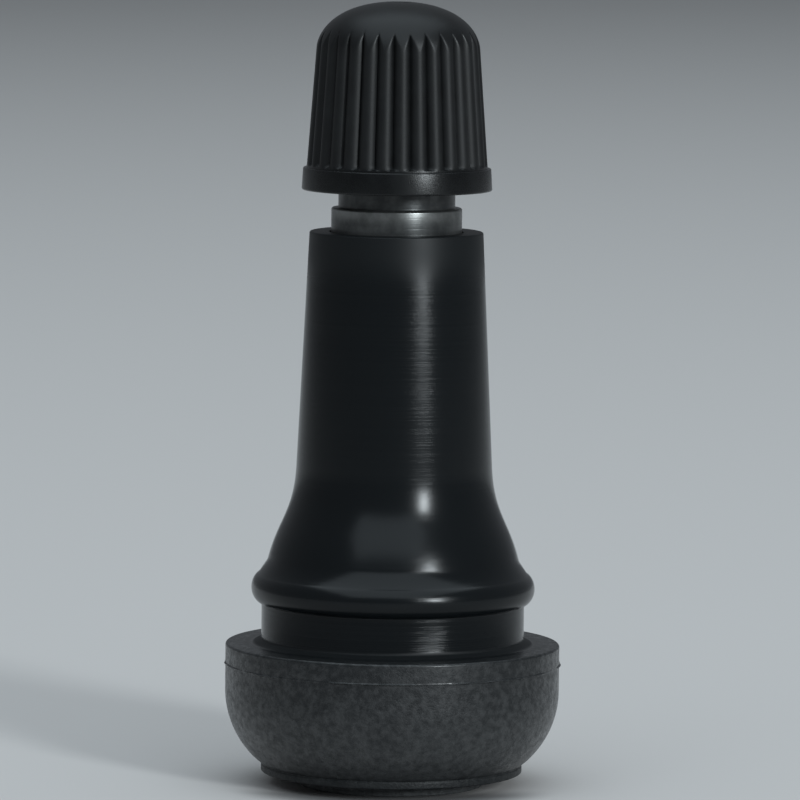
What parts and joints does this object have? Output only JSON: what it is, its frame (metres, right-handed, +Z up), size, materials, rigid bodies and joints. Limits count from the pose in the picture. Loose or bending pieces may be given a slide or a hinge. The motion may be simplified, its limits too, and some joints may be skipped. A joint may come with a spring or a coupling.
{
  "type": "snap-in tyre valve",
  "caption": "Rubber snap-in tyre valve with a bowl-shaped base, rim groove and tapered neck, a metal stem, a fluted screw-on cap and a working spring-loaded core.",
  "frame": {"origin": "centre of the foot's lower face, on the valve's axis, where it stands on its base", "axes": "+Z up along the valve's axis from the base to the cap; the picture looks along +Y"},
  "size_m": [0.0198, 0.0198, 0.0458],
  "materials": {
    "black_rubber": "moulded, semi-gloss on the neck and matt with dust on the bowl",
    "plated_brass": "turned and dull nickel plated",
    "black_plastic": "moulded, satin",
    "seal_rubber": "matt",
    "brass": "turned, bright",
    "spring_steel": "drawn wire, bright"
  },
  "bodies": {
    "valve_body": {"rubber_body": "black_rubber", "valve_stem": "plated_brass"},
    "core": {"core_barrel": "brass", "core_barrel_seal": "seal_rubber", "core_spring": "spring_steel"},
    "core_plug": {"core_plug": "brass"},
    "core_pin": {"core_pin": "brass", "core_pin_collar": "brass", "core_cup": "brass", "core_cup_gasket": "seal_rubber"},
    "cap_seal": {"cap_seal": "seal_rubber"},
    "cap": {"valve_cap": "black_plastic"}
  },
  "joints": [
    {"name": "core_lift", "type": "slide", "parent": "valve_body", "child": "core", "axis": [0, 0, 1], "range_m": [0, 0.00635]},
    {"name": "core_turn", "type": "hinge", "parent": "core", "child": "core_plug", "pos_m": [0, 0, 0.0408], "axis": [0, 0, 1], "range_deg": [0, 3240]},
    {"name": "pin_press", "type": "slide", "parent": "core", "child": "core_pin", "axis": [0, 0, -1], "range_m": [0, 0.001], "stiffness_N_per_m": 1500, "springref_m": -0.0008, "deforming": ["core_spring"]},
    {"name": "cap_lift", "type": "slide", "parent": "core", "child": "cap_seal", "axis": [0, 0, 1], "range_m": [0, 0.00953]},
    {"name": "cap_turn", "type": "hinge", "parent": "cap_seal", "child": "cap", "pos_m": [0, 0, 0.0348], "axis": [0, 0, 1], "range_deg": [0, 4320]}
  ],
  "couplings": [
    {"joint": "core_turn", "follows": "core_lift", "rad_per_m": 8905.3},
    {"joint": "cap_turn", "follows": "cap_lift", "rad_per_m": 7915.8}
  ]
}
